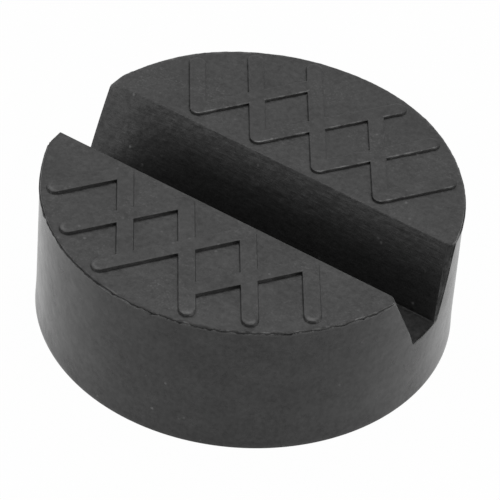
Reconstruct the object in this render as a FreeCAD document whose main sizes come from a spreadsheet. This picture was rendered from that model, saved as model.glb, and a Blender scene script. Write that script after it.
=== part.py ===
import FreeCAD, Part
import os
import Sketcher

# Slotted rubber jack pad: one moulded puck, flat underneath, with a tapered slot across its
# top face for the sill seam of a car, and a tread of nested V ribs on both halves of that face.
# Millimetres and degrees. The slot runs along X, +Z is up, and the origin is the middle of the
# underside.

SIZES = {
    # Puck: its side, the height of its face above the underside, and its broken bottom edge
    "pad_diameter": 65.0,
    "face_height": 23.8,
    "foot_break": 0.3,
    # Lip that the mould's parting line leaves round the top rim
    "lip_overhang": 0.2,
    "lip_depth": 0.7,
    "lip_break": 0.1,
    # Slot, from one side to the other
    "slot_width": 15.0,
    "slot_depth": 12.0,
    "floor_width": 6.2,
    "slot_edge_round": 0.3,
    # Trims that take the sharp corners off the slot's ends: how far each goes in along the wall,
    # and how far round the side in Y, at the face (head) and at the slot's floor (foot)
    "left_wall_head": 0.35,
    "left_side_head": 1.0,
    "left_wall_foot": 0.5,
    "left_side_foot": 1.4,
    "right_wall_head": 0.9,
    "right_side_head": 1.1,
    "right_wall_foot": 0.1,
    "right_side_foot": 1.6,
    # Ribs: section, spacing, lean of the arms from Y, and the bare face around them
    "rib_width": 2.5,
    "rib_height": 0.75,
    "rib_pitch": 11.3,
    "rib_lean": 35.0,
    "tip_gap": 0.9,
    "end_gap": 1.15,
    "crest_break": 0.15,
    "root_flare": 0.2,
}

# What follows from the sizes above
WORKED_OUT = {
    "side_radius": "pad_diameter / 2",
    "rim_radius": "side_radius + lip_overhang",
    "lip_foot": "face_height - lip_depth",
    "floor_height": "face_height - slot_depth",
    "half_mouth": "slot_width / 2",
    "half_floor": "floor_width / 2",
    # Where a wall's two long edges would end at the side, before the trims
    "head_end": "sqrt(side_radius^2 - half_mouth^2)",
    "foot_end": "sqrt(side_radius^2 - half_floor^2)",
    # How far out from Z the trims run, well past the rim
    "outside": "pad_diameter",
    # An arm goes this much sideways and this much outwards for each millimetre of its length
    "arm_run": "sin(rib_lean)",
    "arm_rise": "cos(rib_lean)",
    # Centres of the round tips, and the circle that the round ends at the rim are centred on
    "half_rib": "rib_width / 2",
    "tip_y": "half_mouth + tip_gap + half_rib",
    "inner_tip_x": "rib_pitch / 2",
    "outer_tip_x": "rib_pitch * 1.5",
    "end_radius": "side_radius - end_gap - half_rib",
    # Along each arm's line, from the point nearest the pad's axis to the tip
    "inner_along": "tip_y * arm_rise + inner_tip_x * arm_run",
    "inner_back": "tip_y * arm_rise - inner_tip_x * arm_run",
    "outer_along": "tip_y * arm_rise + outer_tip_x * arm_run",
    "outer_back": "tip_y * arm_rise - outer_tip_x * arm_run",
    # Lengths of the arms that run to the rim, between the centres of their two ends
    "inner_right": "sqrt(inner_along^2 + end_radius^2 - inner_tip_x^2 - tip_y^2) - inner_along",
    "inner_left": "sqrt(inner_back^2 + end_radius^2 - inner_tip_x^2 - tip_y^2) - inner_back",
    "outer_right": "sqrt(outer_along^2 + end_radius^2 - outer_tip_x^2 - tip_y^2) - outer_along",
    # The last arm ends inside the long arm that it meets. On a pad too small for the long arm to
    # reach that far it stops clear of it, or near the rim where that comes first
    "meeting": "rib_pitch / arm_run",
    "outer_meet": "meeting - half_rib / 2",
    "outer_clear": "meeting - (rib_width + tip_gap) / sin(2 * rib_lean)",
    "outer_rim": "sqrt(outer_back^2 + end_radius^2 - outer_tip_x^2 - tip_y^2) - outer_back",
    "outer_left": "inner_left > meeting + half_rib ? outer_meet : min(outer_clear; outer_rim)",
}

# Two lengths closer than this are the same
SAME = 1e-4

FULL_TURN = 360

doc = FreeCAD.newDocument("jack_pad")

sheet = doc.addObject("Spreadsheet::Sheet", "Sizes")
rows = [(alias, str(number)) for alias, number in SIZES.items()]
rows += [(alias, f"={formula}") for alias, formula in WORKED_OUT.items()]
for row, (alias, content) in enumerate(rows, start=1):
    sheet.set(f"A{row}", alias)
    sheet.set(f"B{row}", content)
    sheet.setAlias(f"B{row}", alias)
doc.recompute()


def size(alias):
    return float(sheet.get(alias))


body = doc.addObject("PartDesign::Body", "Body")
body.Label = "jack_pad"


# Sketches. How their constraints number the points of an element, and the sketch's own origin
START, END, CENTRE = 1, 2, 3
ORIGIN = (-1, 1)


def plane(role):
    """One of the body's own origin planes."""
    return next(item for item in body.Origin.OriginFeatures if item.Role == role)


def new_sketch(name, role, height=None):
    """A sketch on an origin plane, or lifted off it to a height from the sheet."""
    sketch = body.newObject("Sketcher::SketchObject", name)
    sketch.AttachmentSupport = [(plane(role), "")]
    sketch.MapMode = "FlatFace"
    if height:
        sketch.setExpression("AttachmentOffset.Base.z", f"Sizes.{height}")
    return sketch


def constrain(sketch, kind, *where):
    return sketch.addConstraint(Sketcher.Constraint(kind, *where))


def place(sketch, name, element, point, across, up):
    """Hold a point of an element at two distances from the origin, given as formulas."""
    for kind, axis, formula in (("DistanceX", "x", across), ("DistanceY", "y", up)):
        now = float(sketch.evalExpression(formula))
        index = constrain(sketch, kind, *ORIGIN, element, point, now)
        sketch.renameConstraint(index, f"{name}_{axis}")
        sketch.setExpression(f"Constraints.{name}_{axis}", formula)


def spot(sketch, across, up):
    """The point that two formulas give now."""
    return FreeCAD.Vector(float(sketch.evalExpression(across)),
                          float(sketch.evalExpression(up)), 0)


def polygon(sketch, corners):
    """A closed outline with straight sides, each corner held by its two formulas."""
    points = [spot(sketch, across, up) for _, across, up in corners]
    sketch.addGeometry([Part.LineSegment(a, b) for a, b in zip(points, points[1:] + points[:1])])
    for index, (name, across, up) in enumerate(corners):
        before = (index - 1) % len(corners)
        constrain(sketch, "Coincident", before, END, index, START)
        place(sketch, name, index, START, across, up)


# Puck: half its section, turned about Z
section = new_sketch("puck_section", "XZ_Plane")
polygon(section, [
    ("base_middle", "0", "0"),
    ("base_edge", "Sizes.side_radius - Sizes.foot_break", "0"),
    ("side_foot", "Sizes.side_radius", "Sizes.foot_break"),
    ("side_head", "Sizes.side_radius", "Sizes.lip_foot"),
    ("lip_foot", "Sizes.rim_radius", "Sizes.lip_foot + Sizes.lip_overhang"),
    ("lip_head", "Sizes.rim_radius", "Sizes.face_height - Sizes.lip_break"),
    ("face_edge", "Sizes.rim_radius - Sizes.lip_break", "Sizes.face_height"),
    ("face_middle", "0", "Sizes.face_height"),
])
puck = body.newObject("PartDesign::Revolution", "puck")
puck.Profile = section
puck.ReferenceAxis = (section, ["V_Axis"])
puck.Angle = FULL_TURN
doc.recompute()

# Slot: its walls lean outwards from a narrow flat floor to the full width at the face
slot_section = new_sketch("slot_section", "YZ_Plane")
polygon(slot_section, [
    ("front_floor", "-Sizes.half_floor", "Sizes.floor_height"),
    ("rear_floor", "Sizes.half_floor", "Sizes.floor_height"),
    ("rear_mouth", "Sizes.half_mouth", "Sizes.face_height"),
    ("front_mouth", "-Sizes.half_mouth", "Sizes.face_height"),
])
slot = body.newObject("PartDesign::Pocket", "slot")
slot.Profile = slot_section
slot.SideType = "Symmetric"
slot.Type = "ThroughAll"
doc.recompute()


# Trims: at each end of the slot a narrow slanting cut takes the sharp corner off both walls. Its
# two borders run down the wall and down the side, from the face to the level of the floor
def trim_outline(name, side, place_on_wall, height, half_width):
    """The cut's outline at the head or foot of the wall: one edge slants across the corner."""
    sketch = new_sketch(f"{name}_trim_{place_on_wall}", "XY_Plane", height)
    wall_x = f"(Sizes.{place_on_wall}_end - Sizes.{name}_wall_{place_on_wall})"
    side_y = f"(Sizes.{half_width} + Sizes.{name}_side_{place_on_wall})"
    side_x = f"sqrt(Sizes.side_radius^2 - {side_y}^2)"
    # The slanting edge spans the two borders and runs on past each by the same length again
    in_slot_y = f"2 * Sizes.{half_width} - {side_y}"
    past_side_y = f"2 * {side_y} - Sizes.{half_width}"
    polygon(sketch, [
        ("in_slot", f"{side}(2 * {wall_x} - {side_x})", in_slot_y),
        ("past_side", f"{side}(2 * {side_x} - {wall_x})", past_side_y),
        ("outer_past", f"{side}Sizes.outside", past_side_y),
        ("outer_slot", f"{side}Sizes.outside", in_slot_y),
    ])
    return sketch


for name, side in (("left", "-"), ("right", "")):
    head = trim_outline(name, side, "head", "face_height", "half_mouth")
    foot = trim_outline(name, side, "foot", "floor_height", "half_floor")
    doc.recompute()
    trim = body.newObject("PartDesign::SubtractiveLoft", f"{name}_trim")
    trim.Profile = (head, [""])
    trim.Sections = [(foot, [""])]
    trim.Ruled = True
    doc.recompute()
    trim_mirror = body.newObject("PartDesign::Mirrored", f"{name}_trim_mirror")
    trim_mirror.Originals = [trim]
    trim_mirror.MirrorPlane = (plane("XZ_Plane"), [""])
    body.Tip = trim_mirror
    doc.recompute()


# Tread: four V ribs on each half, nested side by side with their tips towards the slot. Each
# arm runs either to the rim or into the arm that it meets there. The tips and the ends are
# round, as the cutter that sank the mould's grooves left them
def v_rib(name):
    """One V rib. The sheet holds its tip and the lengths of its two arms."""
    tip_x = f"Sizes.{name}_tip_x"
    sketch = new_sketch(f"{name}_outline", "XY_Plane", "face_height")
    tip = spot(sketch, tip_x, "Sizes.tip_y")
    half_rib = size("half_rib")
    up = FreeCAD.Vector(0, 0, 1)

    def end_formulas(side, reach):
        return (f"{tip_x} {side} Sizes.arm_run * Sizes.{name}_{reach}",
                f"Sizes.tip_y + Sizes.arm_rise * Sizes.{name}_{reach}")

    right_formulas = end_formulas("+", "right")
    left_formulas = end_formulas("-", "left")
    right_end = spot(sketch, *right_formulas)
    left_end = spot(sketch, *left_formulas)
    # From an arm's middle line to its outer edge
    right_out = FreeCAD.Vector(size("arm_rise"), -size("arm_run"), 0) * half_rib
    left_out = FreeCAD.Vector(-size("arm_rise"), -size("arm_run"), 0) * half_rib
    notch = tip + FreeCAD.Vector(0, half_rib / size("arm_run"), 0)

    # From an end's centre to the far side of its round
    right_on = up.cross(right_out)
    left_on = left_out.cross(up)
    sketch.addGeometry([
        Part.Arc(tip + left_out, tip - FreeCAD.Vector(0, half_rib, 0), tip + right_out),
        Part.LineSegment(tip + right_out, right_end + right_out),
        Part.Arc(right_end + right_out, right_end + right_on, right_end - right_out),
        Part.LineSegment(right_end - right_out, notch),
        Part.LineSegment(notch, left_end - left_out),
        Part.Arc(left_end - left_out, left_end + left_on, left_end + left_out),
        Part.LineSegment(left_end + left_out, tip + left_out),
    ])
    nose, right_outer, right_cap, right_inner, left_inner, left_cap, left_outer = range(7)
    for first, second in ((nose, right_outer), (right_outer, right_cap),
                          (right_cap, right_inner), (left_inner, left_cap),
                          (left_cap, left_outer), (left_outer, nose)):
        constrain(sketch, "Tangent", first, END, second, START)
    constrain(sketch, "Coincident", right_inner, END, left_inner, START)
    constrain(sketch, "Parallel", right_inner, right_outer)
    constrain(sketch, "Parallel", left_inner, left_outer)
    constrain(sketch, "Equal", right_cap, nose)
    constrain(sketch, "Equal", left_cap, nose)
    radius = constrain(sketch, "Radius", nose, half_rib)
    sketch.renameConstraint(radius, "nose_radius")
    sketch.setExpression("Constraints.nose_radius", "Sizes.half_rib")
    place(sketch, "tip", nose, CENTRE, tip_x, "Sizes.tip_y")
    place(sketch, "right_end", right_cap, CENTRE, *right_formulas)
    place(sketch, "left_end", left_cap, CENTRE, *left_formulas)

    rib = body.newObject("PartDesign::Pad", f"{name}_rib")
    rib.Profile = sketch
    rib.setExpression("Length", "Sizes.rib_height")
    doc.recompute()
    return rib


modelled_ribs = [v_rib("inner"), v_rib("outer")]

# The other ribs mirror these two in both upright middle planes of the pad
tread = body.newObject("PartDesign::MultiTransform", "tread")
mirrors = []
for role in ("YZ_Plane", "XZ_Plane"):
    mirror = body.newObject("PartDesign::Mirrored", f"tread_mirror_{role[:2]}")
    mirror.MirrorPlane = (plane(role), [""])
    mirrors.append(mirror)
tread.Originals = modelled_ribs
tread.Transformations = mirrors
body.Tip = tread
doc.recompute()


# Finished edges
def middle(edge):
    return edge.valueAt((edge.FirstParameter + edge.LastParameter) / 2)


def level(edge, height):
    points = [vertex.Point for vertex in edge.Vertexes] + [middle(edge)]
    return all(abs(point.z - height) < SAME for point in points)


def is_crest(edge):
    return level(edge, size("face_height") + size("rib_height"))


def is_root(edge):
    """An edge on the face that lies clear of the slot and of the rim."""
    at = middle(edge)
    return (level(edge, size("face_height")) and abs(at.y) > size("half_mouth") + SAME
            and (at.x ** 2 + at.y ** 2) ** 0.5 < size("end_radius") + size("half_rib") + SAME)


def is_slot_edge(edge):
    at = middle(edge)
    return (level(edge, size("face_height")) and abs(abs(at.y) - size("half_mouth")) < SAME
            and edge.Length > size("side_radius"))


def finish_edges(name, kind, value, alias, wanted):
    """Chamfer or round the edges that a test picks on the latest shape."""
    base = body.Tip
    picked = [f"Edge{number}" for number, edge in enumerate(base.Shape.Edges, start=1)
              if wanted(edge)]
    finished = body.newObject(f"PartDesign::{kind}", name)
    finished.Base = (base, picked)
    finished.setExpression(value, f"Sizes.{alias}")
    body.Tip = finished
    doc.recompute()


finish_edges("crests", "Chamfer", "Size", "crest_break", is_crest)
finish_edges("roots", "Chamfer", "Size", "root_flare", is_root)
finish_edges("slot_edges", "Fillet", "Radius", "slot_edge_round", is_slot_edge)

# Every object must have worked before anything is written
for item in doc.Objects:
    assert not {"Invalid", "Error"} & set(item.State), f"{item.Name} failed: {item.State}"
pad = body.Shape
assert not pad.isNull() and pad.isValid(), "the pad's shape is not valid"
assert len(pad.Solids) == 1, "the pad is not one solid"

os.makedirs("parts", exist_ok=True)
pad.exportStep(f"parts/{body.Label}.step")
print(f"{body.Label}: volume {pad.Volume:.0f} mm3, {len(pad.Faces)} faces")
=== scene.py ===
import math

import bmesh
import bpy
import numpy as np
from mathutils import Matrix, Vector, noise
from mathutils.geometry import delaunay_2d_cdt


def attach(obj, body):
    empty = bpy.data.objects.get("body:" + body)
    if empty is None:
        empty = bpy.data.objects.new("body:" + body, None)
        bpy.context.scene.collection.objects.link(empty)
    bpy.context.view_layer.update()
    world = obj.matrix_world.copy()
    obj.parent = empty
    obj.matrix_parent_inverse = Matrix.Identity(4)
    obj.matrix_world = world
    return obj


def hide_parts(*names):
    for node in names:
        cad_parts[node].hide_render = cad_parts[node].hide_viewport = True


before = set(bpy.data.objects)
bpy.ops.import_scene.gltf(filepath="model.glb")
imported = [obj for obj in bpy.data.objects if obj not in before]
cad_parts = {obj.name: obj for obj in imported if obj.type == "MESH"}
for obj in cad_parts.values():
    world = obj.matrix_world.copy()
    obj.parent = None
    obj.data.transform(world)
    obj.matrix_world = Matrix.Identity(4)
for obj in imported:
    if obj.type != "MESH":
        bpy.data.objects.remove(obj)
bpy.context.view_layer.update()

# Slotted rubber jack pad. One moulded piece, drawn here with the soft edges, the uneven rim
# and the grain that moulded rubber has. Lengths are in millimetres until the mesh is made,
# in the frame of the CAD model: the slot runs along X, +Z is up, the underside is at zero.
MM = 0.001

# Sizes of the CAD model
SIDE_RADIUS = 32.5
FACE_HEIGHT = 23.8
HALF_MOUTH = 7.5
HALF_FLOOR = 3.1
SLOT_DEPTH = 12.0
FLOOR_HEIGHT = FACE_HEIGHT - SLOT_DEPTH
HALF_RIB = 1.25
RIB_PITCH = 11.3
RIB_LEAN = math.radians(35)
TIP_GAP = 0.9
END_GAP = 1.15

# Rise of the slot's walls for each millimetre in plan
WALL_SLOPE = SLOT_DEPTH / (HALF_MOUTH - HALF_FLOOR)

# What follows differs a little from the CAD model, as one moulding does from the next.
# Trims on the slot's ends, by end (-1 left, 1 right) and wall (-1 front, 1 rear): the height of
# the cut's foot, then how far it goes in along the wall and how far round the side in Y, at its
# foot and at the face
TRIMS = {
    (-1, -1): (FLOOR_HEIGHT, (0.6, 1.2), (0.9, 3.4)),
    (-1, 1): (FLOOR_HEIGHT, (0.6, 1.2), (0.1, 0.5)),
    (1, -1): (14.0, (0.0, 0.0), (1.28, 1.0)),
    (1, 1): (FLOOR_HEIGHT, (0.12, 0.5), (1.0, 1.1)),
}

# Height of the ribs on the front half, towards -Y, and on the rear half
FRONT_RIB_HEIGHT, REAR_RIB_HEIGHT = 0.45, 0.36

# How far moulding has moved the slot in Y, and the ribs of each half (-1 front, 1 rear) in X and Y
SLOT_OFFSET = -0.19
TREAD_OFFSETS = {-1: (-0.1, 0.1), 1: (-0.085, 0.29)}


def ramp(value, start, reach):
    """0 for values up to the start, 1 from the end of the reach on, and even in between."""
    return np.clip((value - start) / reach, 0, 1)


def peak(value, reach):
    """1 where a value is zero, fading to 0 on both sides."""
    return np.exp(-(value / reach) ** 2)


# Tread: the middle lines of the ribs' arms, as a round cutter followed them
ARM_RUN, ARM_RISE = math.sin(RIB_LEAN), math.cos(RIB_LEAN)
TIP_Y = HALF_MOUTH + TIP_GAP + HALF_RIB
ARM_END_RADIUS = SIDE_RADIUS - END_GAP - HALF_RIB


def to_rim(tip_x, lean):
    """Length of an arm from its tip to the circle that the arms end on by the rim."""
    along = TIP_Y * ARM_RISE + tip_x * ARM_RUN * lean
    return math.sqrt(along ** 2 + ARM_END_RADIUS ** 2 - tip_x ** 2 - TIP_Y ** 2) - along


def arm_lines():
    """Start and end of each of the sixteen arms, in plan."""
    inner_x, outer_x = RIB_PITCH / 2, RIB_PITCH * 1.5
    quarter = [
        (inner_x, 1, to_rim(inner_x, 1)),
        (inner_x, -1, to_rim(inner_x, -1)),
        (outer_x, 1, to_rim(outer_x, 1)),
        (outer_x, -1, RIB_PITCH / ARM_RUN - HALF_RIB / 2),
    ]
    lines = []
    for tip_x, lean, length in quarter:
        end = (tip_x + lean * ARM_RUN * length, TIP_Y + ARM_RISE * length)
        for side in (-1, 1):
            for half in (-1, 1):
                move_x, move_y = TREAD_OFFSETS[half]
                lines.append(tuple((side * x + move_x, half * y + move_y)
                                   for x, y in ((tip_x, TIP_Y), end)))
    return lines


ARMS = arm_lines()
# Arms that end further out than this are the ones that run to the rim
RIM_ARM_RADIUS = ARM_END_RADIUS - HALF_RIB
# Nearer to a rib's middle line than this, the way from it is shorter than 1
FULL_WAY = 0.1


def rib_reach(x, y):
    """How far outside the nearest rib each point is, negative on a rib, how far past the end of
    an arm at the rim, and the way from the rib's middle line to it."""
    nearest = np.full(np.shape(x), np.inf)
    past_end = np.zeros(np.shape(x))
    way_x, way_y = np.zeros(np.shape(x)), np.zeros(np.shape(x))
    for (ax, ay), (bx, by) in ARMS:
        length = math.hypot(bx - ax, by - ay)
        run, rise = (bx - ax) / length, (by - ay) / length
        along = (x - ax) * run + (y - ay) * rise
        held = np.clip(along, 0, length)
        aside_x, aside_y = x - ax - held * run, y - ay - held * rise
        distance = np.hypot(aside_x, aside_y)
        at_rim = math.hypot(bx, by) > RIM_ARM_RADIUS
        closer = distance < nearest
        past_end = np.where(closer, np.maximum(along - length, 0) * at_rim, past_end)
        way_x = np.where(closer, aside_x / np.maximum(distance, FULL_WAY), way_x)
        way_y = np.where(closer, aside_y / np.maximum(distance, FULL_WAY), way_y)
        nearest = np.minimum(nearest, distance)
    return nearest - HALF_RIB, past_end, way_x, way_y


# Ribs: how far the rounding of their upper edges reaches in and how steep it gets, along the
# arms and at the arms' ends, and the width of their sloping walls in plan
FRONT_CREST_REACH, REAR_CREST_REACH = 0.07, 0.22
CREST_STEEPNESS = 0.45
END_REACH, END_STEEPNESS = 0.75, 0.3
END_START = 0.7
FRONT_DRAFT, REAR_DRAFT = 0.11, 0.05


def rib_height(x, y):
    """Height of the ribs above the face."""
    distance, past_end, _, _ = rib_reach(x, y)
    full = np.where(y < 0, FRONT_RIB_HEIGHT, REAR_RIB_HEIGHT)
    draft = np.where(y < 0, FRONT_DRAFT, REAR_DRAFT)
    crest_reach = np.where(y < 0, FRONT_CREST_REACH, REAR_CREST_REACH)
    at_end = ramp(past_end, 0, END_START)
    reach = crest_reach + (END_REACH - crest_reach) * at_end
    steepness = CREST_STEEPNESS + (END_STEEPNESS - CREST_STEEPNESS) * at_end
    crest = full - steepness * reach * ramp(distance, -reach, reach) ** 2 / 2
    return crest * np.clip(1 - distance / draft, 0, 1)


def soft_min(a, b, reach):
    """The lower of two heights, rounded where they cross."""
    close = np.clip(1 - np.abs(a - b) / reach, 0, 1)
    return np.minimum(a, b) - close * close * reach / 4


# Levels that the trims are followed over, as shares of the way from their foot to the face, and
# how often that range is halved to find a level
TRIM_LEVELS = (0.0, 2.5)
TRIM_HALVINGS = 24


def trim_corners(corner, level):
    """Where a trim's two borders are in plan, at a share of the way from its foot to the face.
    The place is for the slot's rear right corner: X and Y on the wall, then on the side."""
    foot_height, *offsets = TRIMS[corner]
    ends = []
    for height, (in_wall, round_side) in zip((foot_height, FACE_HEIGHT), offsets):
        half_width = HALF_FLOOR + (height - FLOOR_HEIGHT) / WALL_SLOPE
        round_y = half_width + round_side
        ends.append((math.sqrt(SIDE_RADIUS ** 2 - half_width ** 2) - in_wall, half_width,
                     math.sqrt(SIDE_RADIUS ** 2 - round_y ** 2), round_y))
    return [foot + level * (head - foot) for foot, head in zip(*ends)]


def trim_height(x, y, corner):
    """Height of the slanting cut on one corner of the slot over points in plan."""
    side, half = corner
    # The range of levels is halved until the cut's line at its level runs through the point
    low, high = np.full_like(x, TRIM_LEVELS[0]), np.full_like(x, TRIM_LEVELS[1])
    for _ in range(TRIM_HALVINGS):
        level = (low + high) / 2
        wall_x, wall_y, side_x, side_y = trim_corners(corner, level)
        inside = ((side_x - wall_x) * (half * (y - SLOT_OFFSET) - wall_y)
                  > (side_y - wall_y) * (side * x - wall_x))
        low, high = np.where(inside, level, low), np.where(inside, high, level)
    foot_height = TRIMS[corner][0]
    return foot_height + low * (FACE_HEIGHT - foot_height)


# A chip off the rear corner at the slot's left end: its depth at the corner, and how fast it runs
# out inwards along X and along Y. On the front half its surface is far above the pad
CHIP_DEPTH, CHIP_IN, CHIP_ROUND = 0.65, 0.5, 0.18
CORNER_X = -math.sqrt(SIDE_RADIUS ** 2 - HALF_MOUTH ** 2)
OUT_OF_REACH = 1000


def chip_height(x, y):
    """Height of the chip's surface over points in plan."""
    return (FACE_HEIGHT - CHIP_DEPTH + CHIP_IN * (x - CORNER_X)
            + CHIP_ROUND * np.maximum(y - SLOT_OFFSET - HALF_MOUTH, 0) + OUT_OF_REACH * (y < 0))


# Height over which edges are rounded: the slot's front and rear upper edges, the edges of its
# floor, the trims' and the chip's
FRONT_EDGE_SOFTNESS, REAR_EDGE_SOFTNESS = 0.15, 0.03
FLOOR_SOFTNESS = 0.15
TRIM_SOFTNESS = 0.4
CHIP_SOFTNESS = 0.12


def top_height(x, y):
    """Height of the upper surface over points in plan."""
    x, y = np.asarray(x, float), np.asarray(y, float)
    wall = FLOOR_HEIGHT + (np.abs(y - SLOT_OFFSET) - HALF_FLOOR) * WALL_SLOPE
    slot = -soft_min(-np.full_like(wall, FLOOR_HEIGHT), -wall, FLOOR_SOFTNESS)
    softness = np.where(y < 0, FRONT_EDGE_SOFTNESS, REAR_EDGE_SOFTNESS)
    height = soft_min(FACE_HEIGHT + rib_height(x, y), slot, softness)
    for side, half in TRIMS:
        trimmed = soft_min(height, trim_height(x, y, (side, half)), TRIM_SOFTNESS)
        trimmed = np.maximum(trimmed, np.minimum(height, TRIMS[side, half][0]))
        height = np.where((side * x > 0) & (half * y > 0), trimmed, height)
    return soft_min(height, chip_height(x, y), CHIP_SOFTNESS)


# Rim: a ragged rest of moulding flash stands out a little way below the face. It and the wear
# of the edge run out over this distance from the slot
SLOT_CLEARANCE = 4
# The middle of the stretch where the flash is ragged, how far round from it that starts, as
# cosines, and how ragged it is elsewhere
RAGGED_ANGLE = -1.03
RAGGED_START, RAGGED_REACH = 0.25, 0.2
CALM_SHARE = 0.25
# The stretch of the rim that is torn the most
TORN_ANGLE, TORN_REACH = -2.26, 0.11
# Stretches where the rim isn't quite round: middle and reach in degrees, and how far inwards
OUT_OF_ROUND = ((139, 14, -0.33), (98, 10, 0.12), (66, 12, -0.13), (-152, 9, 0.2))
# The flash follows a stretch that lies inwards fully, and one that lies outwards by this share
SWELL_SHARE = 0.5
# Uneven lines are built up from waves: height, how fine they are round the rim, and seed
NICKS = (35.0, 1.3)
FLASH_WAVES = ((0.1, 3.1, 4.2), (0.07, 13.0, 9.7), (0.05, *NICKS))
WEAR_WAVES = ((0.05, 30.0, 6.6), (0.05, 60.0, 2.9))
DROP_WAVES = ((0.16, 17.0, 3.3), (0.2, 45.0, 8.1))
# Flash: how far it stands out, at the most, and what the tear takes off it and adds in nicks
FLASH_OUT, FLASH_MOST = 0.2, 0.34
TORN_LOSS, TORN_NICKS = 0.05, 0.3
# Wear of the edge: mean, least and most
WEAR, WEAR_LEAST, WEAR_MOST = 0.03, -0.01, 0.07
# Drop from the face to the flash: at the slot, and the mean, least and most added elsewhere
DROP_AT_SLOT = 0.1
DROP, DROP_LEAST, DROP_MOST = 0.23, 0.02, 0.45


def uneven(angles, scale, seed):
    """A value between -1 and 1 for each angle about Z, the same again after a full turn."""
    return np.array([noise.noise(Vector((math.cos(a) * scale, math.sin(a) * scale, seed)))
                     for a in angles])


def wavy(angles, waves):
    """The sum of several waves at each angle."""
    return sum(height * uneven(angles, scale, seed) for height, scale, seed in waves)


def stretch(angles, middle, reach):
    """1 at the middle angle of a stretch of the rim, fading to 0 on both sides."""
    return peak(np.angle(np.exp(1j * (angles - middle))), reach)


def flash(angles):
    """How far the flash would stand out with no slot."""
    ragged = np.clip((np.cos(angles - RAGGED_ANGLE) - RAGGED_START) / RAGGED_REACH, CALM_SHARE, 1)
    torn = stretch(angles, TORN_ANGLE, TORN_REACH)
    out = FLASH_OUT + ragged * wavy(angles, FLASH_WAVES)
    out += torn * (TORN_NICKS * uneven(angles, *NICKS) - TORN_LOSS)
    return np.clip(out, 0, FLASH_MOST)


def rim_shape(angles):
    """For each angle: how far the flash stands out, how far the edge is worn back, and the
    drop from the face to the flash."""
    clear = ramp(np.abs(np.sin(angles)) * SIDE_RADIUS, HALF_MOUTH, SLOT_CLEARANCE)
    out = flash(angles) * clear
    back = np.clip(WEAR + wavy(angles, WEAR_WAVES), WEAR_LEAST, WEAR_MOST) * clear
    for middle, reach, inwards in OUT_OF_ROUND:
        swell = stretch(angles, math.radians(middle), math.radians(reach)) * inwards * clear
        back += swell
        out = np.maximum(out - np.where(swell > 0, 1, SWELL_SHARE) * swell, 0)
    drop = np.clip(DROP + wavy(angles, DROP_WAVES), DROP_LEAST, DROP_MOST)
    return out, back, DROP_AT_SLOT + drop * clear


# Section of the rim, from the face outwards and down: radius past the side, how much of the
# flash is added to it, how much of the wear is taken off, drop below the face, and how many
# times the flash's own drop is added to that
RIM_SECTION = (
    (-0.16, 0.0, 1.0, -0.015, 0.0), (-0.07, 0.0, 1.0, -0.02, 0.0), (-0.02, 0.0, 1.0, 0.01, 0.0),
    (0.0, 0.0, 1.0, 0.06, 0.0), (0.0, 0.0, 0.5, -0.02, 1.0), (0.01, 0.12, 0.0, 0.0, 1.0),
    (0.0, 0.9, 0.0, 0.02, 1.0), (0.0, 1.0, 0.0, 0.06, 1.0), (0.0, 0.9, 0.0, 0.11, 1.0),
    (0.0, 0.15, 0.0, 0.18, 1.0), (0.0, 0.0, 0.0, 0.28, 1.0), (0.0, 0.0, 0.0, 0.85, 0.0),
    (0.0, 0.0, 0.0, 1.3, 0.0),
)
# The rim starts a little inside its first line
RIM_START = SIDE_RADIUS + RIM_SECTION[0][0] - 0.08
# The side spreads a little over the lowest millimetres, down to a small edge
FOOT_SPREAD, SPREAD_HEIGHT = 0.12, 5.0
FOOT_EDGE = 0.06
# The underside's edge and the rings on the underside: radius past the side, and height
FOOT_SECTION = ((FOOT_SPREAD - 0.01, 0.02), (FOOT_SPREAD - 0.05, 0.0), (-0.3, 0.0), (-4.0, 0.0),
                (-16.0, 0.0))
SIDE_ROWS = 34

# The plan that the upper surface is meshed through. Lines round each rib, besides the foot of
# its walls and the border of its crease: distance outside its edge
RIB_RINGS = (-0.75, -0.55, -0.4, -0.25, -0.13, -0.07, -0.03, 0.0)
ARM_STEP = 0.55
END_TURN = [math.radians(a) for a in range(-90, 91, 15)]
# Lines along the slot: distance outside its upper edges and outside its floor's edges, and
# places on the floor as shares of its half width
MOUTH_LINES = (0.5, 0.2, 0.09, 0.04, 0.012, 0.0, -0.012, -0.04, -0.07, -0.12, -0.2)
FOOT_LINES = (0.16, 0.08, 0.03, 0.0, -0.05, -0.2)
FLOOR_LINES = (0.75, 0.5, 0.25)
WALL_STEP = 0.26
SLOT_STEP = 0.7
# Lines along the trims' borders, by how far they are moved along the slot, and across the trims,
# by level
BORDER_SHIFTS = (-0.12, -0.05, 0.0, 0.05, 0.12)
CUT_LEVELS = (0.0, 0.1, 0.22, 0.34, 0.46, 0.58, 0.7, 0.8, 0.9, 0.97, 1.0, 1.03, 1.1)
TRIM_STEP = 0.25
# Rings inside the rim, and how far they stay off the slot
RIM_INSETS = (0.35, 0.8)
RING_MARGIN = 0.4
# Points on the open parts of the face: their spacing, the rows' spacing as a share of it, and
# how far they stay off the slot, the rim and the ribs
FILL_STEP, ROW_SHARE = 0.85, 0.866
SLOT_MARGIN, RIM_MARGIN, RIB_MARGIN = 0.9, 0.7, 0.4
# Columns down the side: their spacing where the slot cuts it and elsewhere, how far past the
# slot's floor and mouth the closer ones reach, and the longest last step
CUT_COLUMN, COLUMN = 0.22, 0.35
BELOW_FLOOR_EDGE, PAST_MOUTH = 0.3, 0.4
LAST_STEP = 1.3


def grown(line, step):
    """Points along a polyline, no further apart than a step, its corners kept."""
    points = []
    for (ax, ay), (bx, by) in zip(line, line[1:]):
        count = max(1, math.ceil(math.hypot(bx - ax, by - ay) / step))
        points += [(ax + (bx - ax) * i / count, ay + (by - ay) * i / count)
                   for i in range(count)]
    return points + [tuple(line[-1])]


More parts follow.
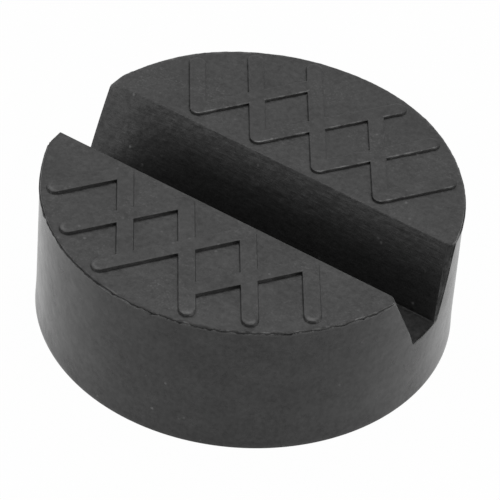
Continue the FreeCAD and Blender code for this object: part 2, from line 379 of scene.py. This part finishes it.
def arm_outline(line, offset):
    """The closed outline round one arm at a distance outside its edge."""
    (ax, ay), (bx, by) = line
    heading = math.atan2(by - ay, bx - ax)
    radius = HALF_RIB + offset
    points = [(bx + radius * math.cos(heading + a), by + radius * math.sin(heading + a))
              for a in END_TURN]
    points += [(ax - radius * math.cos(heading + a), ay - radius * math.sin(heading + a))
               for a in END_TURN]
    return grown(points + points[:1], ARM_STEP)


class Plan:
    """Points and lines in plan that the upper surface is meshed through."""

    def __init__(self, limit):
        self.points, self.edges, self.limit = [], [], limit

    def line(self, points, closed=False):
        """Add a line, less what lies outside the limit."""
        first, last = None, None
        for x, y in points[:-1] if closed else points:
            if math.hypot(x, y) > self.limit:
                last = None
                continue
            self.points.append((x, y))
            index = len(self.points) - 1
            if last is not None:
                self.edges.append((last, index))
            elif first is None:
                first = index
            last = index
        if closed and last is not None and first is not None and last != first:
            self.edges.append((last, first))


def slot_lines(plan):
    """Lines along the slot: close together at its rounded edges, evenly down its walls."""
    mouth = [HALF_MOUTH + outside for outside in MOUTH_LINES]
    foot = [HALF_FLOOR + outside for outside in FOOT_LINES]
    count = round((mouth[-1] - foot[0]) / WALL_STEP)
    walls = [foot[0] + (mouth[-1] - foot[0]) * i / count for i in range(1, count)]
    floor = [HALF_FLOOR * portion for portion in FLOOR_LINES]
    for side in (-1, 1):
        for distance in mouth + walls + foot + floor:
            y = side * distance + SLOT_OFFSET
            end = math.sqrt(plan.limit ** 2 - y ** 2)
            plan.line(grown([(-end, y), (end, y)], SLOT_STEP))
    plan.line(grown([(-plan.limit, SLOT_OFFSET), (plan.limit, SLOT_OFFSET)], SLOT_STEP))


def at_corner(corner, x, y):
    """A place that is given for the slot's rear right corner, on another corner."""
    side, half = corner
    return side * x, half * y + SLOT_OFFSET


def trim_lines(plan):
    """Lines along the trims' borders on the slot's walls, and across the trims."""
    for corner in TRIMS:
        foot_x, foot_y, _, _ = trim_corners(corner, 0)
        head_x, head_y, _, _ = trim_corners(corner, 1)
        for shift in BORDER_SHIFTS:
            ends = [at_corner(corner, foot_x + shift, foot_y),
                    at_corner(corner, head_x + shift, head_y)]
            plan.line(grown(ends, TRIM_STEP))
        for level in CUT_LEVELS:
            wall_x, wall_y, side_x, side_y = trim_corners(corner, level)
            ends = [at_corner(corner, wall_x, wall_y), at_corner(corner, side_x, side_y)]
            plan.line(grown(ends, TRIM_STEP))


def rim_rings(plan, angles):
    """Rings just inside the rim, on every second column of the side."""
    for inset in RIM_INSETS:
        radius = SIDE_RADIUS - inset
        plan.line([(radius * math.cos(a), radius * math.sin(a)) for a in angles[::2]
                   if abs(math.sin(a)) * radius > HALF_MOUTH + RING_MARGIN])


def fill_points(plan):
    """Evenly spread points on the open parts of the face."""
    rows = math.ceil(SIDE_RADIUS / (FILL_STEP * ROW_SHARE))
    columns = math.ceil(SIDE_RADIUS / FILL_STEP)
    for row in range(-rows, rows + 1):
        y = row * FILL_STEP * ROW_SHARE
        if abs(y) < HALF_MOUTH + SLOT_MARGIN:
            continue
        for column in range(-columns, columns + 1):
            x = (column + 0.5 * (row % 2)) * FILL_STEP
            if math.hypot(x, y) < plan.limit - RIM_MARGIN and rib_reach(x, y)[0] > RIB_MARGIN:
                plan.points.append((x, y))


# Width of the painted shade in the crease along one side of the ribs
CREASE_REACH = 0.27
# The plan ends this far inside the rim's start, and points closer than the weld are one point
PLAN_MARGIN = 0.05
WELD = 1e-4


def upper_plan(angles):
    """Every line and point that the upper surface is meshed through."""
    plan = Plan(RIM_START - PLAN_MARGIN)
    slot_lines(plan)
    trim_lines(plan)
    for line in ARMS:
        draft = FRONT_DRAFT if line[0][1] < 0 else REAR_DRAFT
        for offset in (*RIB_RINGS, draft, CREASE_REACH):
            plan.line(arm_outline(line, offset), closed=True)
    rim_rings(plan, angles)
    fill_points(plan)
    return plan


def upper_surface(angles, rim_radius):
    """Points and faces of everything that is open to above, inside the rim's first line. The
    last list gives the point under each angle of that line."""
    plan = upper_plan(angles)
    rim = [Vector((r * math.cos(a), r * math.sin(a))) for a, r in zip(angles, rim_radius)]
    points = rim + [Vector(point) for point in plan.points]
    edges = [(a + len(rim), b + len(rim)) for a, b in plan.edges]
    meshed = delaunay_2d_cdt(points, edges, [list(range(len(rim)))], 1, WELD, True)
    found, _, faces, sources = meshed[:4]
    place = np.array([(point.x, point.y) for point in found])
    height = top_height(place[:, 0], place[:, 1])
    under = {source: index for index, ids in enumerate(sources) for source in ids}
    return (np.column_stack((place, height)), [tuple(face) for face in faces],
            [under[source] for source in range(len(rim))])


def rim_angles():
    """Angles of the columns down the side, closer together where the slot cuts it."""
    angles = [0.0]
    while True:
        aside = abs(math.sin(angles[-1])) * SIDE_RADIUS
        by_wall = HALF_FLOOR - BELOW_FLOOR_EDGE < aside < HALF_MOUTH + PAST_MOUTH
        step = (CUT_COLUMN if by_wall else COLUMN) / SIDE_RADIUS
        if angles[-1] + LAST_STEP * step > 2 * math.pi:
            return np.array(angles)
        angles.append(angles[-1] + step)


def side_columns(angles, out, back, drop):
    """Rows of points round the side, from just outside the upper surface to the underside."""
    rows = []
    for past, out_share, back_share, down, drop_share in RIM_SECTION[1:]:
        radius = SIDE_RADIUS + past + out_share * out - back_share * back
        inside = np.minimum(radius, SIDE_RADIUS)
        top = top_height(inside * np.cos(angles), inside * np.sin(angles))
        rows.append((radius, top - down - drop_share * drop))
    head = rows[-1][1]
    plain = np.full_like(angles, SIDE_RADIUS)
    for row in range(1, SIDE_ROWS + 1):
        height = head + (FOOT_EDGE - head) * row / SIDE_ROWS
        spread = FOOT_SPREAD * np.clip(1 - height / SPREAD_HEIGHT, 0, 1) ** 2
        rows.append((plain + spread, height))
    for past, height in FOOT_SECTION:
        rows.append((plain + past, np.full_like(angles, height)))
    return [np.column_stack((radius * np.cos(angles), radius * np.sin(angles), height))
            for radius, height in rows]


# Regions that the material treats apart. The slot's finish starts this far below the face and is
# full after the reach. The side's finish comes in over a reach outwards and another downwards
SLOT_START, SLOT_REACH = 0.02, 0.1
SIDE_REACH, SIDE_FADE = 0.1, 0.5
UNDERSIDE_HEIGHT = 1.0
# Creases: painted shade, as duller reflections, on the ribs' walls that face left and at their
# foot. How far they reach in under a rib and below the face, from which cosine of the angle to the
# left and over how much of it they come in, over which width they end, and how strong they are on
# each half
CREASE_INSIDE, CREASE_DEPTH = 0.005, 0.05
CREASE_START, CREASE_TURN = 0.4, 0.3
CREASE_FADE = 0.08
FRONT_CREASE, REAR_CREASE = 0.55, 0.85
# Painted highlights on the crests: how far inside the rib's edge, how wide, how strong, and what is
# added where the rear ribs face forward
CREST_PLACE, CREST_WIDTH = 0.1, 0.1
CREST_HEIGHT = 0.3
CREST_HIGHLIGHT, FORWARD_HIGHLIGHT = 0.15, 2.5
FORWARD_START, FORWARD_TURN = 0.6, 0.3
# Painted highlights on the rounded ends of the front arms: how far inside the edge, how wide, and
# where they start
TIP_PLACE, TIP_WIDTH, TIP_INSIDE = 0.42, 0.26, 0.05
TIP_START = 0.8
# Painted highlights on the slot's upper edges: how far outside the wall, how wide, how deep, and
# how strong the front one is, and the rear one, which has them only from some way left of the
# middle
MOUTH_PLACE, MOUTH_WIDTH, MOUTH_DEPTH = 0.05, 0.12, 0.7
FRONT_MOUTH_HIGHLIGHT, REAR_MOUTH_HIGHLIGHT = 0.4, 1.5
REAR_MOUTH_LEFT, REAR_MOUTH_REACH = 29.5, 1
# Painted highlight on the rim's edge: how strong, how far inside the side, how wide and how deep
RIM_HIGHLIGHT, RIM_PLACE, RIM_WIDTH, RIM_DEPTH = 1.8, 0.04, 0.12, 0.12
# Painted shade on the lip, as duller reflections: the same, but outside the side, then how far to
# the left and to the front it starts, over which distance it comes in, and how many times its share
# is taken off the rim's painted highlight
LIP_SHADE, LIP_PLACE, LIP_WIDTH, LIP_DEPTH = 0.55, 0.02, 0.12, 0.4
LIP_LEFT, LIP_FRONT, LIP_FADE = 1, 15, 5
LIP_OVER_HIGHLIGHT = 2
# Trims: the dull finish is full up to this far off the cut and gone at twice that. It stays on
# top, off the slot's floor and below the face
CUT_REACH = 0.06
CUT_PAST_SIDE, CUT_ABOVE_FLOOR, CUT_BELOW_FACE = 0.01, 0.1, 0.02
# Painted highlights on their borders: how wide, how far off the cut, and how far past the face they
# may be
BORDER_WIDTH, BORDER_REACH, BORDER_PAST = 0.12, 0.3, 0.1
# The trim that has painted highlight all over, from some height on
HIGHLIGHT_TRIM = (1, -1)
HIGHLIGHT_TRIM_HEIGHT, HIGHLIGHT_TRIM_REACH = 22.0, 0.8


def rib_shares(x, y, z):
    """Shares of the painted shade in the creases, the painted highlights on the crests and those on
    the rounded ends of the arms.
    """
    distance, past_end, way_x, way_y = rib_reach(x, y)
    leftward = -way_x * ARM_RISE - way_y * ARM_RUN
    forward = way_x * ARM_RISE - way_y * ARM_RUN
    # Painted shade: duller reflections along the ribs' walls that face left and at their foot
    crease_shade = (ramp(leftward, CREASE_START, CREASE_TURN) * (distance > -CREASE_INSIDE)
              * ramp(CREASE_REACH - distance, 0, CREASE_FADE) * (z > FACE_HEIGHT - CREASE_DEPTH)
              * (np.hypot(x, y) < RIM_START) * np.where(y < 0, FRONT_CREASE, REAR_CREASE))
    # Painted highlights along the crests, stronger where the rear ribs face forward
    lit = ramp(forward, FORWARD_START, FORWARD_TURN) * (y > 0)
    crest = (peak(distance + CREST_PLACE, CREST_WIDTH) * (z > FACE_HEIGHT + CREST_HEIGHT)
             * (CREST_HIGHLIGHT + FORWARD_HIGHLIGHT * lit))
    # Painted highlights on the rounded ends of the front arms
    tip_highlights = (ramp(past_end, 0, TIP_START) * peak(distance + TIP_PLACE, TIP_WIDTH)
            * (distance < -TIP_INSIDE) * (y < 0))
    return crease_shade, crest, tip_highlights


def mouth_highlight(x, y, z):
    """Share of the painted highlights on the slot's upper edges."""
    outside = np.abs(y - SLOT_OFFSET) - HALF_MOUTH
    at_left = REAR_MOUTH_HIGHLIGHT * ramp(-x, REAR_MOUTH_LEFT, REAR_MOUTH_REACH)
    return (peak(outside - MOUTH_PLACE, MOUTH_WIDTH) * (z > FACE_HEIGHT - MOUTH_DEPTH)
            * np.where(y < 0, FRONT_MOUTH_HIGHLIGHT, at_left) * (np.hypot(x, y) < RIM_START))


def rim_shares(x, y, z):
    """Shares of the painted highlight on the rim's edge and of the painted shade on its lip at the
    front left.
    """
    past = np.hypot(x, y) - SIDE_RADIUS
    # Painted shade under the rim's edge at the front left, as duller reflections
    lip_shade = LIP_SHADE * peak(past - LIP_PLACE, LIP_WIDTH) * (z > FACE_HEIGHT - LIP_DEPTH)
    lip_shade *= ramp(-x, LIP_LEFT, LIP_FADE) * ramp(-y, LIP_FRONT, LIP_FADE)
    # Painted highlight along the rim's edge, less where the lip's painted shade lies
    rim = RIM_HIGHLIGHT * peak(past + RIM_PLACE, RIM_WIDTH) * (z > FACE_HEIGHT - RIM_DEPTH)
    return rim * (1 - np.clip(LIP_OVER_HIGHLIGHT * lip_shade, 0, 1)), lip_shade


def border_share(corner, x, y):
    """Share of the two borders of a trim in plan, one on the wall and one round the side."""
    side, half = corner
    from_slot = np.abs(y - SLOT_OFFSET)
    foot, head = (trim_corners(corner, level) for level in (0, 1))
    border = np.zeros_like(x)
    for start, end in ((foot[:2], head[:2]), (foot[2:], head[2:])):
        run, rise = end[0] - start[0], end[1] - start[1]
        across = (side * x - start[0]) * rise - (from_slot - start[1]) * run
        near = peak(across / math.hypot(run, rise), BORDER_WIDTH)
        near *= (from_slot > start[1]) * (from_slot < end[1] + BORDER_PAST)
        border = np.maximum(border, near * (side * x > 0) * (half * y > 0))
    return border


def trim_shares(x, y, z):
    """Shares of the trims' cuts and of the painted highlights on their borders."""
    cut, edge_highlight = np.zeros_like(x), np.zeros_like(x)
    on_top = np.hypot(x, y) < SIDE_RADIUS + CUT_PAST_SIDE
    on_walls = (z > FLOOR_HEIGHT + CUT_ABOVE_FLOOR) * (z < FACE_HEIGHT - CUT_BELOW_FACE)
    for side, half in TRIMS:
        off_cut = np.abs(z - trim_height(x, y, (side, half)))
        facet = np.clip(2 - off_cut / CUT_REACH, 0, 1) * on_top * on_walls
        facet *= (side * x > 0) * (half * y > 0)
        cut = np.maximum(cut, facet)
        # Painted highlights along the trims' borders, and over the upper part of one trim
        edge_highlight = np.maximum(edge_highlight, border_share((side, half), x, y) * (off_cut < BORDER_REACH))
        if (side, half) == HIGHLIGHT_TRIM:
            edge_highlight = np.maximum(edge_highlight, facet * ramp(z, HIGHLIGHT_TRIM_HEIGHT, HIGHLIGHT_TRIM_REACH))
    return cut, edge_highlight


def mark_regions(mesh, places):
    """Give each point the shares that the material reads: in the slot, on the side, of a painted
    highlight on an edge, of a painted highlight on the ends of the arms, on a trim's cut and of
    painted shade in a crease or on the lip. They run from 0 to 1, and past 1 on the brightest
    painted highlights."""
    x, y, z = places.T
    radius = np.hypot(x, y)
    in_slot = (ramp(FACE_HEIGHT - z, SLOT_START, SLOT_REACH) * (radius < RIM_START)
               * (z > UNDERSIDE_HEIGHT))
    on_side = ramp(radius, RIM_START, SIDE_REACH) * ramp(FACE_HEIGHT - z, 0, SIDE_FADE)
    crease_shade, crest, tip_highlights = rib_shares(x, y, z)
    rim, lip_shade = rim_shares(x, y, z)
    cut, border = trim_shares(x, y, z)
    # Painted highlights on crests, slot edges, rim and trim borders, as one share
    edge_highlight = np.max([crest, mouth_highlight(x, y, z), rim, border], axis=0)
    for name, shares in (("slot", in_slot), ("side", on_side), ("edge_highlight", edge_highlight), ("tip_highlights", tip_highlights),
                         ("cut", cut), ("crease_shade", np.maximum(crease_shade, lip_shade))):
        mesh.attributes.new(name, "FLOAT", "POINT").data.foreach_set("value", shares)


# Edges bent by more than this stay sharp in the shading
SHARP = math.radians(38)


def pad_surface():
    """Points and faces of the whole pad, closed all round."""
    angles = rim_angles()
    out, back, drop = rim_shape(angles)
    upper, polygons, ring = upper_surface(angles, SIDE_RADIUS + RIM_SECTION[0][0] - back)
    rows = side_columns(angles, out, back, drop)
    places = np.vstack([upper, *rows, [(0, 0, 0)]])
    count = len(angles)
    rings = [ring] + [[len(upper) + row * count + i for i in range(count)]
                      for row in range(len(rows))]
    for above, below in zip(rings, rings[1:]):
        polygons += [(above[i], below[i], below[i - count + 1], above[i - count + 1])
                     for i in range(count)]
    middle = len(places) - 1
    polygons += [(rings[-1][i], middle, rings[-1][i - count + 1]) for i in range(count)]
    return places, polygons


def pad_mesh():
    """The pad's mesh, with its regions marked."""
    places, polygons = pad_surface()
    mesh = bpy.data.meshes.new("jack_pad_moulded")
    mesh.from_pydata((places * MM).tolist(), [], polygons)
    form = bmesh.new()
    form.from_mesh(mesh)
    bmesh.ops.recalc_face_normals(form, faces=form.faces)
    form.to_mesh(mesh)
    form.free()
    mesh.shade_smooth()
    mesh.set_sharp_from_angle(angle=SHARP)
    mark_regions(mesh, places)
    return mesh


# Rubber: near black, with a satin skin that picks up the white surround. The side is the
# smoothest, the slot the roughest. First its tone, how far the clouds change it, as a share, and
# the tone that the painted highlights on edges and on the arms' ends, dust and specks add
RUBBER_TONE = 0.012
CLOUD = 0.5
EDGE_HIGHLIGHT_TONE = 0.09
TIP_HIGHLIGHT_TONE = 0.075
DUST_TONE = 0.08
SPECK_TONE = 0.16
# Roughness, and how far the clouds change it
FACE_ROUGHNESS = 0.34
SIDE_ROUGHNESS = 0.25
SLOT_ROUGHNESS = 0.5
ROUGHNESS_CLOUD = 0.04
# Shine: level, how far the mottle and the clouds change it, how much of the mottle the side has,
# the painted shade taken off on the slot's floor, what is taken off on the trims and the side, and
# the least and most that the painted shade in the creases takes off
SHINE = 0.5
SHINE_CHANGE = 0.13
SHINE_CLOUD = 0.035
SIDE_CALM = 0.75
FLOOR_SHADE = 0.19
CUT_DULLING = 0.28
SIDE_DULLING = 0.07
CREASE_SHADE = (0.4 * SHINE, 0.9 * SHINE)
# Relief in metres: the grain, the share of it on the side and the share that the slot adds, and
# the streaks
GRAIN = 0.00011
SIDE_GRAIN, SLOT_GRAIN = 0.5, 0.1
STREAK = 0.00005
# Share of the dust film that the slot and the side have
STEEP_DUST = 0.15
# Height over which the slot's walls turn from the floor's painted shade to their own finish
WALL_FINISH = ((FLOOR_HEIGHT + 0.1) * MM, (FLOOR_HEIGHT + 0.6) * MM)
# Noises: scale for a metre, detail and roughness, and the range of values that is used of each
CLOUD_NOISE, CLOUD_RANGE = (160.0, 5.0, 0.75), (0.3, 0.7)
BREAK_NOISE, BREAK_RANGE = (380.0, 4.0, 0.7), (0.47, 0.66)
MOTTLE_NOISE, MOTTLE_RANGE, TIP_RANGE = (1300.0, 3.0, 0.8), (0.3, 0.7), (0.35, 0.6)
GRAIN_NOISE = (550.0, 4.0, 0.45)
STREAK_SCALES, STREAK_NOISE = (260.0, 1600.0, 1600.0), (1.0, 4.0, 0.6)
FILM_NOISE, FILM_RANGE = (2700.0, 2.0), (0.54, 0.8)
FILM_PATCHES, FILM_PATCH_RANGE = (120.0, 2.0), (0.44, 0.68)
SPECK_CELLS, SPECK_SIZES = 460.0, (0.03, 0.15)
SPECK_PATCHES, SPECK_PATCH_RANGE = (170.0, 2.0), (0.54, 0.72)


class Shading:
    """Adds shader nodes to a material or a world and wires them up."""

    def __init__(self, owner):
        owner.use_nodes = True
        self.tree = owner.node_tree

    def add(self, kind, inputs, output=0, **settings):
        """A node with its options set, each input fed by a value or by another node's output."""
        node = self.tree.nodes.new(kind)
        for name, value in settings.items():
            setattr(node, name, value)
        for name, value in inputs.items():
            if isinstance(value, bpy.types.NodeSocket):
                self.tree.links.new(value, node.inputs[name])
            else:
                node.inputs[name].default_value = value
        return node.outputs[output]

    def show(self, kind, shader):
        """The tree's output, fed by a shader."""
        self.tree.links.new(shader, self.tree.nodes.new(kind).inputs["Surface"])

    def sum(self, *terms):
        """All terms added up."""
        total = terms[0]
        for term in terms[1:]:
            total = self.add("ShaderNodeMath", {0: total, 1: term}, operation="ADD")
        return total

    def product(self, a, b):
        return self.add("ShaderNodeMath", {0: a, 1: b}, operation="MULTIPLY")

    def greater(self, a, b):
        return self.add("ShaderNodeMath", {0: a, 1: b}, operation="MAXIMUM")

    def share(self, name):
        """One of the mesh's own shares."""
        return self.add("ShaderNodeAttribute", {}, "Fac", attribute_name=name)

    def ray(self, kind):
        """1 for rays of one kind and 0 for others."""
        return self.add("ShaderNodeLightPath", {}, kind)

    def place(self, stretch=(1, 1, 1)):
        """The point on the pad in metres, each axis scaled."""
        point = self.add("ShaderNodeTexCoord", {}, "Object")
        return self.add("ShaderNodeVectorMath", {0: point, 1: stretch}, operation="MULTIPLY")

    def noise(self, place, scale, detail, rough=0.5):
        inputs = {"Vector": place, "Scale": scale, "Detail": detail, "Roughness": rough}
        return self.add("ShaderNodeTexNoise", inputs, "Fac")

    def ramp(self, value, low, high, to_low=0.0, to_high=1.0):
        """A value's range carried over to another, and held at its ends."""
        inputs = {"Value": value, "From Min": low, "From Max": high,
                  "To Min": to_low, "To Max": to_high}
        return self.add("ShaderNodeMapRange", inputs, "Result")


class Rubber(Shading):
    """The pad's material, with the shares and noises that all its parts read."""

    def __init__(self, material):
        super().__init__(material)
        self.point = self.place()
        self.in_slot, self.on_side = self.share("slot"), self.share("side")
        height = self.add("ShaderNodeSeparateXYZ", {"Vector": self.point}, "Z")
        self.on_wall = self.ramp(height, *WALL_FINISH)
        self.cloud = self.noise(self.point, *CLOUD_NOISE)
        self.broken = self.ramp(self.noise(self.point, *BREAK_NOISE), *BREAK_RANGE)
        self.mottle = self.noise(self.point, *MOTTLE_NOISE)

    def clouded(self, low, high):
        """A value that drifts between two with the clouds."""
        return self.ramp(self.cloud, *CLOUD_RANGE, low, high)

    def dust(self):
        """Tone added by pale dust: a thin film of fine grains, mostly on top, and sparse specks."""
        on_top = self.ramp(self.sum(self.in_slot, self.on_side), 0.0, 1.0, 1.0, STEEP_DUST)
        film = self.product(
            self.ramp(self.noise(self.point, *FILM_NOISE), *FILM_RANGE),
            self.ramp(self.noise(self.point, *FILM_PATCHES), *FILM_PATCH_RANGE))
        cells = {"Vector": self.point, "Scale": SPECK_CELLS}
        distance = self.add("ShaderNodeTexVoronoi", cells, "Distance")
        speck = self.product(
            self.ramp(distance, *SPECK_SIZES, 1.0, 0.0),
            self.ramp(self.noise(self.point, *SPECK_PATCHES), *SPECK_PATCH_RANGE))
        return self.sum(self.product(self.product(film, on_top), DUST_TONE),
                        self.product(speck, SPECK_TONE))

    def tone(self):
        """Tone of the rubber with painted highlights on the edges and the arms' ends, and with
        dust.
        """
        return self.sum(
            self.clouded(RUBBER_TONE * (1 - CLOUD), RUBBER_TONE * (1 + CLOUD)),
            # Painted highlights on the edges
            self.product(self.product(self.share("edge_highlight"), self.broken), EDGE_HIGHLIGHT_TONE),
            # Painted highlights on the ends of the front arms
            self.product(self.share("tip_highlights"),
                         self.ramp(self.mottle, *TIP_RANGE, TIP_HIGHLIGHT_TONE / 2, TIP_HIGHLIGHT_TONE)),
            self.dust())

    def roughness(self):
        """Roughness of the skin, by region."""
        return self.sum(
            self.clouded(FACE_ROUGHNESS + ROUGHNESS_CLOUD, FACE_ROUGHNESS - ROUGHNESS_CLOUD),
            self.product(self.on_side, SIDE_ROUGHNESS - FACE_ROUGHNESS),
            self.product(self.in_slot, SLOT_ROUGHNESS - FACE_ROUGHNESS))

    def shine(self):
        """Level of the reflections, less on the trims and the side, and lowered as painted shade on
        the slot's floor, in the creases and on the lip.
        """
        least, most = CREASE_SHADE
        return self.sum(
            self.product(self.ramp(self.mottle, *MOTTLE_RANGE, -SHINE_CHANGE, SHINE_CHANGE),
                         self.ramp(self.on_side, 0.0, 1.0, 1.0, SIDE_CALM)),
            SHINE,
            self.clouded(-SHINE_CLOUD, SHINE_CLOUD),
            # Painted shade on the slot's floor
            self.product(self.in_slot, self.ramp(self.on_wall, 0.0, 1.0, -FLOOR_SHADE, 0.0)),
            self.product(self.share("cut"), -CUT_DULLING),
            self.product(self.on_side, -SIDE_DULLING),
            # Painted shade in the creases and on the lip
            self.product(self.share("crease_shade"), self.ramp(self.broken, 0.0, 1.0, -most, -least)))

    def normal(self):
        """Surface direction with the grain, and with streaks along the slot's walls."""
        grain = self.sum(self.ramp(self.on_side, 0.0, 1.0, GRAIN, GRAIN * SIDE_GRAIN),
                         self.product(self.in_slot, GRAIN * SLOT_GRAIN))
        streaks = self.noise(self.place(STREAK_SCALES), *STREAK_NOISE)
        height = self.sum(
            self.product(self.noise(self.point, *GRAIN_NOISE), grain),
            self.product(self.product(streaks, self.product(self.in_slot, self.on_wall)), STREAK))
        bump = {"Height": height, "Strength": 1.0, "Distance": 1.0}
        return self.add("ShaderNodeBump", bump, "Normal")


def rubber():
    """The moulded rubber."""
    material = bpy.data.materials.new("moulded_rubber")
    shading = Rubber(material)
    shader = shading.tree.nodes["Principled BSDF"]
    for name, value in (("Base Color", shading.tone()), ("Roughness", shading.roughness()),
                        ("Normal", shading.normal()), ("Specular IOR Level", shading.shine())):
        shading.tree.links.new(value, shader.inputs[name])
    return material


pad = bpy.data.objects.new("pad_body", pad_mesh())
bpy.context.scene.collection.objects.link(pad)
pad.data.materials.append(rubber())
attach(pad, "root")
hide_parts("jack_pad")


# Floor: seen as plain white, with part of the object's shadow kept. Its half width and its
# height are in metres
FLOOR_TONE = 0.8
FLOOR_GLOW = 0.985
FLOOR_MIRROR = 0.97
FLOOR_REACH = 3.0
FLOOR_DROP = -0.00002


def floor_material():
    """Paper that catches shadows, mostly covered by a white glow for the camera and mirrors."""
    material = bpy.data.materials.new("floor_white")
    shading = Shading(material)
    shading.tree.nodes.clear()
    paper = shading.add("ShaderNodeBsdfDiffuse",
                        {"Color": (FLOOR_TONE, FLOOR_TONE, FLOOR_TONE, 1)})
    glow = shading.add("ShaderNodeEmission", {})
    seen = shading.greater(shading.product(shading.ray("Is Camera Ray"), FLOOR_GLOW),
                           shading.product(shading.ray("Is Glossy Ray"), FLOOR_MIRROR))
    mixed = shading.add("ShaderNodeMixShader", {0: seen, 1: paper, 2: glow})
    shading.show("ShaderNodeOutputMaterial", mixed)
    return material


floor_mesh = bpy.data.meshes.new("floor")
floor_mesh.from_pydata([(x * FLOOR_REACH, y * FLOOR_REACH, FLOOR_DROP)
                        for x, y in ((-1, -1), (1, -1), (1, 1), (-1, 1))], [], [(0, 1, 2, 3)])
floor = bpy.data.objects.new("floor", floor_mesh)
bpy.context.scene.collection.objects.link(floor)
floor.data.materials.append(floor_material())

# World: white to the camera and in reflections, dimmer as a light
AMBIENT = 0.2


def studio_world():
    """The white surround."""
    world = bpy.data.worlds.new("studio")
    shading = Shading(world)
    shading.tree.nodes.clear()
    ambient = shading.add("ShaderNodeBackground", {"Strength": AMBIENT})
    white = shading.add("ShaderNodeBackground", {})
    seen = shading.greater(shading.ray("Is Camera Ray"), shading.ray("Is Glossy Ray"))
    mixed = shading.add("ShaderNodeMixShader", {0: seen, 1: ambient, 2: white})
    shading.show("ShaderNodeOutputWorld", mixed)
    return world


# Lamps: large soft boxes low down on both sides, weaker ones further round that light the edges,
# and two high up behind. Bearing from -Y towards +X and height above the floor in degrees, width
# and height in metres, and power in watts
LAMPS = {
    "left_box": (316, 14, 0.9, 0.42, 3.8),
    "right_box": (102, 16, 0.9, 0.5, 4.8),
    "rear_box": (221, 60, 0.6, 0.6, 1.0),
    "top_box": (211, 80, 0.5, 0.5, 1.0),
    "right_edge": (147, 12, 0.6, 0.4, 1.5),
    "left_edge": (266, 20, 0.5, 0.4, 1.2),
}
LAMP_DISTANCE = 1.0


def direction(bearing, height):
    """The way from the pad towards a bearing and a height, both in radians."""
    return Vector((math.sin(bearing) * math.cos(height), -math.cos(bearing) * math.cos(height),
                   math.sin(height)))


def add_lamp(name, bearing, height, width, tall, power):
    """A soft box that points at the pad."""
    light = bpy.data.lights.new(name, "AREA")
    light.shape = "RECTANGLE"
    light.size = width
    light.size_y = tall
    light.energy = power
    lamp = bpy.data.objects.new(name, light)
    lamp.location = LAMP_DISTANCE * direction(math.radians(bearing), math.radians(height))
    lamp.rotation_mode = "QUATERNION"
    lamp.rotation_quaternion = (-lamp.location).to_track_quat("-Z", "Y")
    bpy.context.scene.collection.objects.link(lamp)


# Camera: the photograph's view. Its bearing, height and roll, its distance from the frame's
# origin and the shift across and up the picture in millimetres, and the focal length in pixels
AZIMUTH = math.radians(30.914)
ELEVATION = math.radians(41.874)
ROLL = math.radians(4.682)
DISTANCE = 600.55
ASIDE = -1.03
ABOVE = -8.006
FOCAL_PIXELS = 3830.61
FRAME_PIXELS = 500
SENSOR = 36.0
CLIP_START = 0.01


def photo_camera():
    """The camera that took the photograph."""
    back = direction(AZIMUTH, ELEVATION)
    level = Vector((math.cos(AZIMUTH), math.sin(AZIMUTH), 0))
    upright = back.cross(level)
    across = math.cos(ROLL) * level + math.sin(ROLL) * upright
    up = math.cos(ROLL) * upright - math.sin(ROLL) * level
    lens = bpy.data.cameras.new("camera")
    lens.sensor_width = SENSOR
    lens.lens = FOCAL_PIXELS * SENSOR / FRAME_PIXELS
    lens.clip_start = CLIP_START
    camera = bpy.data.objects.new("camera", lens)
    place = (back * DISTANCE - across * ASIDE - up * ABOVE) * MM
    turn = Matrix((across, up, back)).transposed().to_4x4()
    camera.matrix_world = Matrix.Translation(place) @ turn
    bpy.context.scene.collection.objects.link(camera)
    return camera


scene = bpy.context.scene
scene.world = studio_world()
for name, settings in LAMPS.items():
    add_lamp(name, *settings)
scene.camera = photo_camera()
scene.view_settings.view_transform = "Standard"
